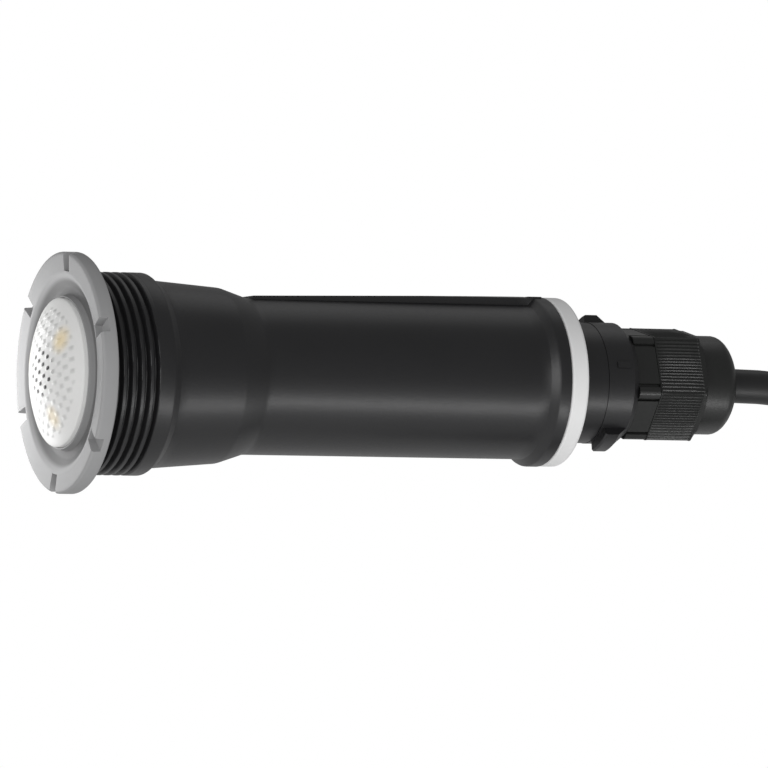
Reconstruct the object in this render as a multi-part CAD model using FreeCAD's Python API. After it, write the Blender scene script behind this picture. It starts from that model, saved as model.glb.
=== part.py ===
import FreeCAD, Part
import math
import os

# Underwater pool light that screws into a 1 1/2 inch pipe end, in millimetres.
# The axis of the light is X: the lens looks along -X and the cable leaves along +X.
# The origin is on the thread's axis, at the back face of the bezel's flange.

V = FreeCAD.Vector
X_AXIS = V(1, 0, 0)

# Driving dimensions: bezel
FLANGE_R = 28.7
FLANGE_T = 4.0
FLANGE_ROUND = 0.7
FLANGE_BACK_CHAMFER = 0.5
LAND_R = 23.6
DISH_X = -1.7
DISH_R = 20.2
DISH_FLAT_R = 18.9
DISH_FALL = (-2.5, 21.7)
DISH_FOOT = [(-1.9, 18.4), (-2.4, 18.2)]
LAND_FALL = 0.4
HUB_X = -3.6
HUB_R = 18.2
NOTCHES = 6
NOTCH_W = 3.4
NOTCH_RADIAL = 4.5
NOTCH_DEPTH = 2.2
NOTCH_START = 21.0
SPIGOT_R = 21.0
SPIGOT_X = 9.0
SPIGOT_GROOVE = (4.6, 6.2)
SPIGOT_GROOVE_R = 19.9
SEAT_R = 19.0
RECESS_R = 24.4
RECESS_X = -0.6
SLIP = 0.1
O_RING_GAP = 0.02
BULGE = 0.29

# Driving dimensions: lens
LENS_R = 17.7
LENS_DOME_R = 36.5
LENS_APEX = -9.1
LENS_WALL = 2.4
LENS_SKIRT_BORE = 15.6
LENS_FLANGE_R = 18.9
LENS_FLANGE_FRONT = -1.0
LENS_FLANGE_BACK = 1.5
LENS_GASKET_BORE = 16.6
LENS_GASKET_BACK = 2.5
RETAINER_BACK = 5.5
RETAINER_BORE = 15.8

# Driving dimensions: body
THREAD_R = 24.15
THREAD_ROOT = 22.75
THREAD_PITCH = 2.31
THREAD_FIRST = 2.2
THREAD_GROOVES = 5
THREAD_CREST = 0.12 * THREAD_PITCH
LAND_END = 16.2
CONE_X = 18.4
CONE_R = 22.4
CONE_END_X = 35.6
CONE_END_R = 21.0
TUBE_X = 42.5
TUBE_R = 18.75
TUBE_END = 115.4
REAR_FLANGE_X = 117.7
REAR_FLANGE_R = 20.5
BODY_END = 120.2
BODY_BORE = 21.05
BODY_SHOULDER = 12.1
BODY_MID_BORE = 19.4
TUBE_BORE = 16.6
END_WALL_X = 112.0
END_BORE = 13.55
EDGE = 0.3
RIB_X = 44.0
RIB_W = 9.0
RIB_START_R = 19.1
RIB_ROOT_R = 17.75
RIB_END = 119.2

# Driving dimensions: lamp unit
BOARD_R = 15.0
LED_BOARD_X = 3.7
LED_BOARD_T = 1.6
PAD_T = 0.3
PAD_R = 14.5
LED_SIZE = 4.5
LED_T = 0.8
LED_RING_R = 10.0
LED_RING_COUNT = 3
LED_RING_START = 38.0
BOARD_SCREW_RING = 12.9
BOARD_SCREW_ANGLES = (-22.0, 128.0, 218.0)
BOARD_SCREW_HOLE = 1.25
BOARD_SCREW = (2.0, 1.3, 1.2, 5.0)
SINK_R = 20.7
SINK_DISC_X = 9.1
SINK_END = 36.0
SINK_CORE_R = 6.0
FIN_R = 17.5
FIN_T = 1.6
FIN_COUNT = 12
LEAD_R = 0.8
LEAD_HEIGHTS = (10.0, 12.2)
LEAD_START = 2.9
LEAD_SINK_GAP = 0.25
SINK_INSET = 0.2
FIN_START = 15.0

# Driving dimensions: driver
TRAY_X = 45.0
TRAY_R = 16.2
TRAY_WALL = 1.4
PCB_Z = -1.0
PCB_T = 1.6
PCB_HALF = 15.6
PCB_X = (47.0, 103.0)
PCB_TOP = PCB_Z + PCB_T
PCB_HOLE = 1.1
TRAY_SCREWS = [(52.0, -11.0), (52.0, 11.0), (98.0, -11.0), (98.0, 11.0)]
TRAY_SCREW = (1.8, 1.2, 0.9, 6.0)
BOSS_R = 2.6
BOSS_H = 9.8
BOSS_BORE = 0.95
BOSS_BORE_H = 7.0
LEAD_FOOT = PCB_TOP + SLIP
LEAD_ROUTES = [
    [(LEAD_START, 0, LEAD_HEIGHTS[0]), (41.0, 0, LEAD_HEIGHTS[0]), (49.0, -2.5, 7.0), (49.5, -2.5, LEAD_FOOT)],
    [(LEAD_START, 0, LEAD_HEIGHTS[1]), (42.0, 0, LEAD_HEIGHTS[1]), (52.0, 2.5, 9.0), (52.5, 2.5, LEAD_FOOT)],
]
CAN_X = 78.0
CAN_Y = 5.5
CAN_R = 4.0
CAN_H = 11.0
CAN_CRIMP = (4.3, 0.6, 2.0)
DRUM_X = 64.0
DRUM_R = 6.0
DRUM_H = 8.0
DRUM_RIM = 1.6
DRUM_CORE_R = 3.0
WINDING_R = 5.4
CHIP_X = 56.0
CHIP_Y = 7.0
CHIP_SIZE = (5.0, 4.0, 1.6)
BRIDGE_AT = (89.0, -10.0)
BRIDGE_SIZE = (6.0, 8.0, 3.0)
TERMINAL_X = 96.0
TERMINAL_SIZE = (9.0, 10.0, 8.0)
WIRE_Y = 2.5
WIRE_Z = PCB_TOP + 4.0
WIRE_HOLE = (1.5, 93.5)
CLAMP_HOLE = (1.4, 3.0, 95.0, 6.0)

# Driving dimensions: rear cap, gasket and collar
CAP_SPIGOT_X = 106.0
CAP_SPIGOT_R = 13.5
CAP_GROOVE = (115.0, 116.6)
CAP_GROOVE_R = 12.3
NECK_R = 14.6
NECK_END = 132.45
JOURNAL_R = 12.6
JOURNAL_END = 141.0
CAP_BORE = 6.0
GLAND_THREAD_R = 9.95
GLAND_THREAD_X = 128.0
GLAND_RING_R = 11.4
GLAND_RING_DEPTH = 1.6
GASKET_T = 4.6
GASKET_R = 20.4
GASKET_ROUND = 0.8
COLLAR_R = 14.7
COLLAR_BORE = 12.65
COLLAR_X = 132.55
COLLAR_BACK = 140.9
COLLAR_CHAMFER_X = 139.3
COLLAR_END_R = 13.5
LUG_X = 133.4
LUG_R = 16.8
LUG_EDGE = 0.4
LUG_WIDTH = 32.0
LUG_FLAT = 136.8
LUG_END = 139.2
LUG_CENTRES = (-66.0, 114.0)
KEY_R = 13.6
KEY_WIDTH = 20.0
KEY_X = 135.75
KEY_GAP = 0.15
COLLAR_TURN = 60.0
MARK_R = 15.05
MARK_X = (134.9, 138.4)
MARK_ANGLE = 15.0
MARK_WIDTH = 6.0
ROOT = 0.5

# Driving dimensions: gland
HEX_AF = 25.2
HEX_TURN = -11.6
HEX_CORNER_CUT = 0.2
HEX_END = 146.5
GLAND_STUB_X = 129.0
GLAND_STUB_R = 9.9
GLAND_THREAD_END = 156.0
GLAND_BORE = 4.6
SEAL_X = 148.0
SEAL_R = 6.5
SEAL_MOUTH = 157.0
SEAL_END = 158.5
SEAL_LIP = 1.0
CABLE_GRIP = 0.05
WASHER_R = 9.8
WASHER_END = 159.7
NUT_X = 146.6
NUT_FLUTED_END = 159.4
NUT_AF = 25.4
NUT_ROUND_R = 14.5
NUT_CHAMFER = (0.8, 1.2)
NUT_BORE = 10.45
NUT_SHOULDER = 159.75
NUT_SEAT_R = 8.4
NUT_THROAT_X = 165.0
NUT_DOME_R = 12.0
NUT_DOME_TURN = 165.8
NUT_DOME_BEND = (169.0, 9.4)
NUT_MOUTH = 0.9
NUT_END = 170.0
CABLE_GAP = 0.35
FLUTES = (-1.5, -0.5, 0.5, 1.5)
FLUTE_STEP = 3.0
FLUTE_DEPTH = 0.3
FLUTE_HALF = 0.4
FLUTE_MARGIN = 0.7
THREAD_GAP = 0.05

# Driving dimensions: cable
CABLE_R = 4.15
JACKET_START = 124.0
CORE_R = 1.3
CABLE_D = 2 * CABLE_R
COIL_X = 201.2
COIL_Z = -160.8
COIL_TURNS_INSIDE = 4
COIL_INSIDE_R = 46.0
COIL_OUTSIDE_R = 53.2
JOIN_R = 49.6
JOIN_ANGLE = 12.0
JOIN_Y = -2 * CABLE_D
TAIL_LENGTH = 60.0
CORE_TAIL = 18.0
CORE_SPREAD = 1.8
FERRULE = 8.0
FERRULE_R = 1.1
TIE_WIDTH = 4.6
TIE_GAP = 0.3
TIE_T = 1.3
TIE_HEAD = 4.2
TIE_HEAD_LIP = 0.8
CORE_ROUTE = [(JACKET_START, 1.8), (113.0, 1.8), (105.5, WIRE_Y), (97.0, WIRE_Y)]

# The route of the lead from the gland to the coil, which it meets along the coil's own turn
LEAD_ROUTE = [
    (NUT_END, 0.0, 0.0),
    (207.0, 0.0, 0.0),
    (236.0, -3.0, -27.0),
    (239.0, -13.0, -100.0),
    (
        COIL_X + JOIN_R * math.cos(math.radians(JOIN_ANGLE)),
        JOIN_Y,
        COIL_Z + JOIN_R * math.sin(math.radians(JOIN_ANGLE)),
    ),
]


def polar(r, angle, x=0.0):
    """A point at radius r, at an angle from the -Y side towards the top."""
    a = math.radians(angle)
    return V(x, -r * math.cos(a), r * math.sin(a))


def revolved(outline):
    """A solid of revolution about X. An entry of two points is an arc through the first to the second."""
    last = V(outline[0][0], 0, outline[0][1])
    edges = []
    for step in outline[1:] + outline[:1]:
        if isinstance(step[0], tuple):
            middle, end = (V(x, 0, r) for x, r in step)
            edges.append(Part.Arc(last, middle, end).toShape())
        else:
            end = V(step[0], 0, step[1])
            edges.append(Part.LineSegment(last, end).toShape())
        last = end
    return Part.Face(Part.Wire(edges)).revolve(V(0, 0, 0), X_AXIS, 360)


def rod(r, x0, x1, y=0.0, z=0.0):
    """A cylinder along X."""
    return Part.makeCylinder(r, x1 - x0, V(x0, y, z), X_AXIS)


def ring(r_out, r_in, x0, x1):
    """A tube along X."""
    return rod(r_out, x0, x1).cut(rod(r_in, x0 - 1, x1 + 1))


def block(x0, x1, y0, y1, z0, z1):
    return Part.makeBox(x1 - x0, y1 - y0, z1 - z0, V(x0, y0, z0))


def seated_ring(groove, r_in, r_out):
    """An O-ring as large as fits between two radii, in the middle of its groove."""
    section = (r_out - r_in) / 2 - O_RING_GAP
    return Part.makeTorus((r_in + r_out) / 2, section, V(sum(groove) / 2, 0, 0), X_AXIS)


def hexagon(across_flats, x0, x1, turn=0.0):
    """A hexagonal prism along X, with its first corner turned from the -Y side."""
    corner = across_flats / math.sqrt(3)
    points = [polar(corner, turn + 60 * i, x0) for i in range(7)]
    return Part.Face(Part.makePolygon(points)).extrude(V(x1 - x0, 0, 0))


def sector(r, x0, x1, centre, width):
    """A slice of a cylinder along X, width degrees wide."""
    slab = rod(r, x0, x1)
    far = 2 * r
    corners = [V(x0, 0, 0)] + [polar(far, centre + k * width / 2, x0) for k in (-1, 1)] + [V(x0, 0, 0)]
    return slab.common(Part.Face(Part.makePolygon(corners)).extrude(V(x1 - x0, 0, 0)))


def tube_path(points, share=0.45):
    """Straight runs joined by tangent arcs, each as large as its two runs allow. Returns the wire and radii."""
    points = [V(*p) for p in points]
    edges = []
    radii = []
    last = points[0]
    for before, corner, after in zip(points, points[1:], points[2:]):
        into = (corner - before).normalize()
        out = (after - corner).normalize()
        turn = into.getAngle(out)
        reach = share * min((corner - before).Length, (after - corner).Length)
        start = corner - into * reach
        end = corner + out * reach
        radius = reach / math.tan(turn / 2)
        bisector = (out - into).normalize()
        middle = corner + bisector * (radius / math.cos(turn / 2) - radius)
        edges.append(Part.LineSegment(last, start).toShape())
        edges.append(Part.Arc(start, middle, end).toShape())
        radii.append(radius)
        last = end
    edges.append(Part.LineSegment(last, points[-1]).toShape())
    return Part.Wire(edges), radii


def tube(points, r):
    """A round tube along a path of runs and arcs."""
    wire, radii = tube_path(points)
    first = V(*points[1]) - V(*points[0])
    section = Part.Wire(Part.Circle(V(*points[0]), first, r).toShape())
    solid = wire.makePipeShell([section], True, False)
    expected = math.pi * r * r * wire.Length
    print(
        "tube of", round(wire.Length, 1), "mm, radii", [round(a, 1) for a in radii],
        "volume ratio", round(solid.Volume / expected, 4),
    )
    return solid


def screw(head_r, head_t, shank_r, shank_l):
    """A pan head screw pointing along +X, with the underside of its head at the origin."""
    head = Part.makeCylinder(head_r, head_t, V(-head_t, 0, 0), X_AXIS)
    recess = block(-head_t, -head_t / 2, -head_r / 5, head_r / 5, -0.6 * head_r, 0.6 * head_r)
    cross = recess.copy()
    cross.rotate(V(0, 0, 0), X_AXIS, 90)
    shank = Part.makeCylinder(shank_r, shank_l, V(0, 0, 0), X_AXIS)
    return head.cut(recess).cut(cross).fuse(shank).removeSplitter()


def bezel_ring():
    body = revolved([
        (HUB_X, LENS_R + SLIP),
        (LENS_FLANGE_FRONT, LENS_R + SLIP),
        (LENS_FLANGE_FRONT, SEAT_R),
        (SPIGOT_X, SEAT_R),
        (SPIGOT_X, SPIGOT_R),
        (SPIGOT_GROOVE[1], SPIGOT_R),
        (SPIGOT_GROOVE[1], SPIGOT_GROOVE_R),
        (SPIGOT_GROOVE[0], SPIGOT_GROOVE_R),
        (SPIGOT_GROOVE[0], SPIGOT_R),
        (RECESS_X, SPIGOT_R),
        (RECESS_X, RECESS_R),
        (0.0, RECESS_R),
        (0.0, FLANGE_R - FLANGE_BACK_CHAMFER),
        (-FLANGE_BACK_CHAMFER, FLANGE_R),
        (-FLANGE_T + FLANGE_ROUND, FLANGE_R),
        (
            (-FLANGE_T + BULGE * FLANGE_ROUND, FLANGE_R - BULGE * FLANGE_ROUND),
            (-FLANGE_T, FLANGE_R - FLANGE_ROUND),
        ),
        (-FLANGE_T + LAND_FALL, LAND_R),
        (DISH_FALL, (DISH_X, DISH_R)),
        (DISH_X, DISH_FLAT_R),
        tuple(DISH_FOOT),
        (HUB_X, HUB_R),
    ])
    for i in range(NOTCHES):
        slot = block(
            -FLANGE_T - 1, -FLANGE_T + NOTCH_DEPTH,
            -FLANGE_R - 1, -FLANGE_R + NOTCH_RADIAL, -NOTCH_W / 2, NOTCH_W / 2,
        )
        slot.rotate(V(0, 0, 0), X_AXIS, -(NOTCH_START + i * 360 / NOTCHES))
        body = body.cut(slot)
    return body


def lens():
    centre = V(LENS_APEX + LENS_DOME_R, 0, 0)
    skirt = rod(LENS_R, LENS_APEX, LENS_FLANGE_BACK).common(Part.makeSphere(LENS_DOME_R, centre))
    outer = skirt.fuse(rod(LENS_FLANGE_R, LENS_FLANGE_FRONT, LENS_FLANGE_BACK))
    hollow = rod(LENS_SKIRT_BORE, LENS_APEX, LENS_FLANGE_BACK + 1)
    hollow = hollow.common(Part.makeSphere(LENS_DOME_R - LENS_WALL, centre))
    return outer.cut(hollow).removeSplitter()


def thread_outline():
    """The grooves of the thread as points from the flange to the plain land, one groove per pitch."""
    points = []
    for k in range(THREAD_GROOVES):
        x = THREAD_FIRST + k * THREAD_PITCH
        half = THREAD_PITCH / 2 - THREAD_CREST
        points += [(x - half, THREAD_R), (x, THREAD_ROOT), (x + half, THREAD_R)]
    return points


def body_shell():
    shell = revolved([
        (RECESS_X, BODY_BORE),
        (RECESS_X, THREAD_R),
        *thread_outline(),
        (LAND_END, THREAD_R),
        (CONE_X, CONE_R),
        (CONE_END_X, CONE_END_R),
        (TUBE_X, TUBE_R),
        (TUBE_END, TUBE_R),
        (REAR_FLANGE_X, REAR_FLANGE_R),
        (BODY_END - EDGE, REAR_FLANGE_R),
        (BODY_END, REAR_FLANGE_R - EDGE),
        (BODY_END, END_BORE),
        (END_WALL_X, END_BORE),
        (END_WALL_X, TUBE_BORE),
        (TUBE_X, TUBE_BORE),
        (CONE_END_X, BODY_MID_BORE),
        (BODY_SHOULDER, BODY_MID_BORE),
        (BODY_SHOULDER, BODY_BORE),
    ])
    side = [
        (RIB_X, RIB_ROOT_R), (RIB_X, RIB_START_R), (TUBE_END, REAR_FLANGE_R),
        (RIB_END, REAR_FLANGE_R), (RIB_END, RIB_ROOT_R), (RIB_X, RIB_ROOT_R),
    ]
    rib = Part.Face(Part.makePolygon([V(x, -RIB_W / 2, z) for x, z in side])).extrude(V(0, RIB_W, 0))
    rib = rib.common(rod(REAR_FLANGE_R, RIB_X, RIB_END))
    return shell.fuse(rib).removeSplitter()


def heat_sink():
    sink = rod(BOARD_R - SINK_INSET, LED_BOARD_X + LED_BOARD_T + PAD_T, SINK_DISC_X)
    sink = sink.fuse(rod(SINK_R, SINK_DISC_X, BODY_SHOULDER))
    sink = sink.fuse(rod(SINK_CORE_R, BODY_SHOULDER, SINK_END))
    for i in range(FIN_COUNT):
        fin = block(BODY_SHOULDER, SINK_END, -FIN_R, -SINK_CORE_R + 1, -FIN_T / 2, FIN_T / 2)
        fin.rotate(V(0, 0, 0), X_AXIS, FIN_START + i * 360 / FIN_COUNT)
        sink = sink.fuse(fin)
    for z in LEAD_HEIGHTS:
        sink = sink.cut(rod(LEAD_R + LEAD_SINK_GAP, 0, BODY_SHOULDER + 1, 0, z))
    return drilled_for_board_screws(sink).removeSplitter()


def drilled_for_board_screws(shape):
    for angle in BOARD_SCREW_ANGLES:
        at = polar(BOARD_SCREW_RING, angle)
        shape = shape.cut(rod(BOARD_SCREW_HOLE, 0, SINK_DISC_X + 1, at.y, at.z))
    return shape


def led_disc(x0, x1, r):
    """A round plate of the lamp unit with its screw and lead holes."""
    disc = rod(r, x0, x1)
    for z in LEAD_HEIGHTS:
        disc = disc.cut(rod(LEAD_R + SLIP, x0 - 1, x1 + 1, 0, z))
    return drilled_for_board_screws(disc)


def led_emitters():
    """The LED packages, in a ring on the board."""
    half = LED_SIZE / 2
    packages = []
    for i in range(LED_RING_COUNT):
        at = polar(LED_RING_R, LED_RING_START + i * 360 / LED_RING_COUNT)
        packages.append(block(
            LED_BOARD_X - LED_T, LED_BOARD_X, at.y - half, at.y + half, at.z - half, at.z + half
        ))
    return Part.makeCompound(packages)


def led_board_screws():
    screws = []
    for angle in BOARD_SCREW_ANGLES:
        one = screw(*BOARD_SCREW)
        one.translate(polar(BOARD_SCREW_RING, angle, LED_BOARD_X))
        screws.append(one)
    return Part.makeCompound(screws)


def led_leads():
    """Two wires from the LED board, through the heat sink, down to the driver board."""
    return Part.makeCompound([tube(route, LEAD_R) for route in LEAD_ROUTES])


def driver_tray():
    tray = ring(TRAY_R, TRAY_R - TRAY_WALL, TRAY_X, CAP_SPIGOT_X)
    for x0 in (TRAY_X, CAP_SPIGOT_X - TRAY_WALL):
        tray = tray.fuse(rod(TRAY_R, x0, x0 + TRAY_WALL))
    for x, y in TRAY_SCREWS:
        tray = tray.fuse(Part.makeCylinder(BOSS_R, BOSS_H, V(x, y, PCB_Z - BOSS_H)))
    tray = tray.common(rod(TRAY_R, TRAY_X, CAP_SPIGOT_X))
    tray = tray.cut(block(TRAY_X - 1, CAP_SPIGOT_X + 1, -TRAY_R, TRAY_R, PCB_Z, TRAY_R))
    for x, y in TRAY_SCREWS:
        tray = tray.cut(Part.makeCylinder(BOSS_BORE, BOSS_BORE_H, V(x, y, PCB_Z - BOSS_BORE_H)))
    return tray.removeSplitter()


def driver_board():
    board = block(PCB_X[0], PCB_X[1], -PCB_HALF, PCB_HALF, PCB_Z, PCB_TOP)
    for x, y in TRAY_SCREWS:
        board = board.cut(Part.makeCylinder(PCB_HOLE, PCB_T + 2, V(x, y, PCB_Z - 1)))
    return board


def tray_screws():
    screws = []
    for x, y in TRAY_SCREWS:
        one = screw(*TRAY_SCREW)
        one.rotate(V(0, 0, 0), V(0, 1, 0), 90)
        one.translate(V(x, y, PCB_TOP))
        screws.append(one)
    return Part.makeCompound(screws)


def on_board(x, y, size_x, size_y, height):
    """A box-shaped package standing on the driver board."""
    return block(x - size_x / 2, x + size_x / 2, y - size_y / 2, y + size_y / 2, PCB_TOP, PCB_TOP + height)


def smoothing_capacitors():
    cans = []
    crimp_r, crimp_section, crimp_height = CAN_CRIMP
    for y in (-CAN_Y, CAN_Y):
        can = Part.makeCylinder(CAN_R, CAN_H, V(CAN_X, y, PCB_TOP))
        cans.append(can.cut(Part.makeTorus(crimp_r, crimp_section, V(CAN_X, y, PCB_TOP + crimp_height))))
    return Part.makeCompound(cans)


def buck_inductor():
    """A ferrite drum: two flanges and a core."""
    at = V(DRUM_X, 0, PCB_TOP)
    drum = Part.makeCylinder(DRUM_R, DRUM_RIM, at).fuse(Part.makeCylinder(DRUM_CORE_R, DRUM_H, at))
    top = Part.makeCylinder(DRUM_R, DRUM_RIM, at + V(0, 0, DRUM_H - DRUM_RIM))
    return drum.fuse(top).removeSplitter()


def inductor_winding():
    at = V(DRUM_X, 0, PCB_TOP + DRUM_RIM)
    height = DRUM_H - 2 * DRUM_RIM
    return Part.makeCylinder(WINDING_R, height, at).cut(Part.makeCylinder(DRUM_CORE_R, height, at))


def driver_chips():
    return Part.makeCompound([on_board(CHIP_X, y, *CHIP_SIZE) for y in (-CHIP_Y, CHIP_Y)])


def terminal_block():
    body = on_board(TERMINAL_X, 0, *TERMINAL_SIZE)
    wire_r, wire_start = WIRE_HOLE
    clamp_r, clamp_depth, clamp_x, clamp_height = CLAMP_HOLE
    for y in (-WIRE_Y, WIRE_Y):
        body = body.cut(rod(wire_r, wire_start, TERMINAL_X + TERMINAL_SIZE[0], y, WIRE_Z))
        body = body.cut(Part.makeCylinder(clamp_r, clamp_depth, V(clamp_x, y, PCB_TOP + clamp_height)))
    return body


def rear_cap():
    cap = revolved([
        (CAP_SPIGOT_X, CAP_BORE),
        (CAP_SPIGOT_X, CAP_SPIGOT_R),
        (CAP_GROOVE[0], CAP_SPIGOT_R),
        (CAP_GROOVE[0], CAP_GROOVE_R),
        (CAP_GROOVE[1], CAP_GROOVE_R),
        (CAP_GROOVE[1], CAP_SPIGOT_R),
        (BODY_END, CAP_SPIGOT_R),
        (BODY_END, NECK_R),
        (NECK_END, NECK_R),
        (NECK_END, JOURNAL_R),
        (JOURNAL_END, JOURNAL_R),
        (JOURNAL_END, GLAND_RING_R),
        (JOURNAL_END - GLAND_RING_DEPTH, GLAND_RING_R),
        (JOURNAL_END - GLAND_RING_DEPTH, GLAND_THREAD_R),
        (GLAND_THREAD_X, GLAND_THREAD_R),
        (GLAND_THREAD_X, CAP_BORE),
    ])
    key = sector(KEY_R, NECK_END, KEY_X, 0.0, KEY_WIDTH).cut(rod(JOURNAL_R - ROOT, NECK_END, KEY_X))
    return cap.fuse(key).removeSplitter()


def seat_gasket():
    x1 = BODY_END + GASKET_T
    dip = BULGE * GASKET_ROUND
    return revolved([
        (BODY_END, NECK_R + SLIP),
        (BODY_END, GASKET_R - GASKET_ROUND),
        ((BODY_END + dip, GASKET_R - dip), (BODY_END + GASKET_ROUND, GASKET_R)),
        (x1 - GASKET_ROUND, GASKET_R),
        ((x1 - dip, GASKET_R - dip), (x1, GASKET_R - GASKET_ROUND)),
        (x1, NECK_R + SLIP),
    ])


def bayonet_collar():
    collar = revolved([
        (COLLAR_X, COLLAR_BORE),
        (COLLAR_X, COLLAR_R),
        (COLLAR_CHAMFER_X, COLLAR_R),
        (COLLAR_BACK, COLLAR_END_R),
        (COLLAR_BACK, COLLAR_BORE),
    ])
    lug = revolved([
        (LUG_X, COLLAR_BORE + ROOT),
        (LUG_X, LUG_R - LUG_EDGE),
        (LUG_X + LUG_EDGE, LUG_R),
        (LUG_FLAT, LUG_R),
        (LUG_END, COLLAR_R),
        (LUG_END, COLLAR_BORE + ROOT),
    ])
    for centre in LUG_CENTRES:
        collar = collar.fuse(lug.common(sector(LUG_R + 1, LUG_X, LUG_END, centre, LUG_WIDTH)))
    mark = sector(MARK_R, *MARK_X, MARK_ANGLE, MARK_WIDTH)
    collar = collar.fuse(mark.cut(rod(COLLAR_BORE + ROOT, COLLAR_X, COLLAR_BACK)))
    clear = math.degrees(KEY_GAP / KEY_R)
    stop_slot = sector(
        KEY_R + SLIP, COLLAR_X - 1, KEY_X + SLIP, COLLAR_TURN / 2, COLLAR_TURN + KEY_WIDTH + 2 * clear
    )
    return collar.cut(stop_slot).removeSplitter()


def gland_body():
    hexed = hexagon(HEX_AF, JOURNAL_END, HEX_END, HEX_TURN)
    hexed = hexed.common(rod(HEX_AF / math.sqrt(3) - HEX_CORNER_CUT, JOURNAL_END, HEX_END))
    stub = rod(GLAND_STUB_R, GLAND_STUB_X, JOURNAL_END)
    thread = rod(NUT_BORE - THREAD_GAP, HEX_END, GLAND_THREAD_END)
    body = hexed.fuse(stub).fuse(thread)
    body = body.cut(rod(GLAND_BORE, GLAND_STUB_X - 1, GLAND_THREAD_END + 1))
    return body.cut(rod(SEAL_R + SLIP, SEAL_X, GLAND_THREAD_END + 1)).removeSplitter()


def gland_seal():
    return revolved([
        (SEAL_X, CABLE_R + CABLE_GRIP),
        (SEAL_X, SEAL_R),
        (SEAL_MOUTH, SEAL_R),
        (SEAL_END, SEAL_R - SEAL_LIP),
        (SEAL_END, CABLE_R + CABLE_GRIP),
    ])


def gland_nut():
    """A rounded hexagon with fine flutes, then a round dome down to the cable."""
    back, fall = NUT_CHAMFER
    grip = hexagon(NUT_AF, NUT_X, NUT_FLUTED_END, HEX_TURN).common(
        revolved([
            (NUT_X, 0.0),
            (NUT_X, NUT_ROUND_R),
            (NUT_FLUTED_END - back, NUT_ROUND_R),
            (NUT_FLUTED_END, NUT_ROUND_R - fall),
            (NUT_FLUTED_END, 0.0),
        ])
    )
    dome = revolved([
        (NUT_X + 1, 0.0),
        (NUT_X + 1, NUT_DOME_R),
        (NUT_DOME_TURN, NUT_DOME_R),
        (NUT_DOME_BEND, (NUT_END, CABLE_R + NUT_MOUTH)),
        (NUT_END, 0.0),
    ])
    inside = revolved([
        (NUT_X - 1, 0.0),
        (NUT_X - 1, NUT_BORE),
        (NUT_SHOULDER, NUT_BORE),
        (NUT_SHOULDER, NUT_SEAT_R),
        (NUT_THROAT_X, CABLE_R + CABLE_GAP),
        (NUT_END + 1, CABLE_R + CABLE_GAP),
        (NUT_END + 1, 0.0),
    ])
    return grip.fuse(dome).cut(inside).cut(nut_flutes()).removeSplitter()


def nut_flutes():
    """Axial grooves across the six flats of the nut."""
    grooves = []
    for side in range(6):
        for k in FLUTES:
            groove = block(
                NUT_X + FLUTE_MARGIN, NUT_FLUTED_END - FLUTE_MARGIN,
                -NUT_AF / 2 - 1, -NUT_AF / 2 + FLUTE_DEPTH,
                k * FLUTE_STEP - FLUTE_HALF, k * FLUTE_STEP + FLUTE_HALF,
            )
            groove.rotate(V(0, 0, 0), X_AXIS, -(HEX_TURN + 30 + 60 * side))
            grooves.append(groove)
    return Part.makeCompound(grooves)


def inner_cores():
    """The two cores from the end of the jacket to the terminal block."""
    cores = []
    heights = (0.0, 0.0, WIRE_Z, WIRE_Z)
    for side in (-1, 1):
        route = [(x, y * side, z) for (x, y), z in zip(CORE_ROUTE, heights)]
        cores.append(tube(route, CORE_R))
    return Part.makeCompound(cores)


def coil_section(x=COIL_X):
    """The outline of the wound turns, two layers deep, in a plane across X at the coil's top."""
    inside = COIL_TURNS_INSIDE / 2 * CABLE_D
    outside = (COIL_TURNS_INSIDE - 1) / 2 * CABLE_D
    soft = CABLE_R
    corners = [
        (soft - inside, COIL_INSIDE_R - CABLE_R), (inside - soft, COIL_INSIDE_R - CABLE_R),
        (inside, COIL_INSIDE_R - CABLE_R / 2), (inside, COIL_INSIDE_R + CABLE_R / 2),
        (outside - soft / 2, COIL_OUTSIDE_R + CABLE_R), (soft / 2 - outside, COIL_OUTSIDE_R + CABLE_R),
        (-inside, COIL_INSIDE_R + CABLE_R / 2), (-inside, COIL_INSIDE_R - CABLE_R / 2),
    ]
    points = [V(x, y, COIL_Z + r) for y, r in corners]
    return Part.makePolygon(points + points[:1])


def cable_coil():
    """The outer shape of the wound turns, which hang in a plane across Y."""
    return Part.Face(coil_section()).revolve(V(COIL_X, 0, COIL_Z), V(0, 1, 0), 360)


def cable_lead():
    return tube(LEAD_ROUTE, CABLE_R).cut(cable_coil())


def cable_tail():
    foot = V(COIL_X + COIL_OUTSIDE_R, -CABLE_D, COIL_Z - TAIL_LENGTH)
    return Part.makeCylinder(CABLE_R, TAIL_LENGTH, foot).cut(cable_coil())


def cores_down(r, length, below):
    """Two round pieces, one per core, that hang below the tail's end."""
    bottom = COIL_Z - TAIL_LENGTH - below - length
    return Part.makeCompound([
        Part.makeCylinder(r, length, V(COIL_X + COIL_OUTSIDE_R + side * CORE_SPREAD, -CABLE_D, bottom))
        for side in (-1, 1)
    ])


def coil_tie():
    """A cable tie round the top of the coil, with its head on the side away from the lead."""
    start = coil_section(COIL_X - TIE_WIDTH / 2)
    inner, outer = (Part.Face(start.makeOffset2D(gap)) for gap in (TIE_GAP, TIE_GAP + TIE_T))
    band = outer.cut(inner).extrude(V(TIE_WIDTH, 0, 0))
    side = COIL_TURNS_INSIDE / 2 * CABLE_D + TIE_GAP + TIE_T / 2
    half = TIE_WIDTH / 2 + TIE_HEAD_LIP
    middle = COIL_Z + COIL_INSIDE_R
    head = block(COIL_X - half, COIL_X + half, side, side + TIE_HEAD, middle - half, middle + half)
    return band.fuse(head).removeSplitter()


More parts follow.
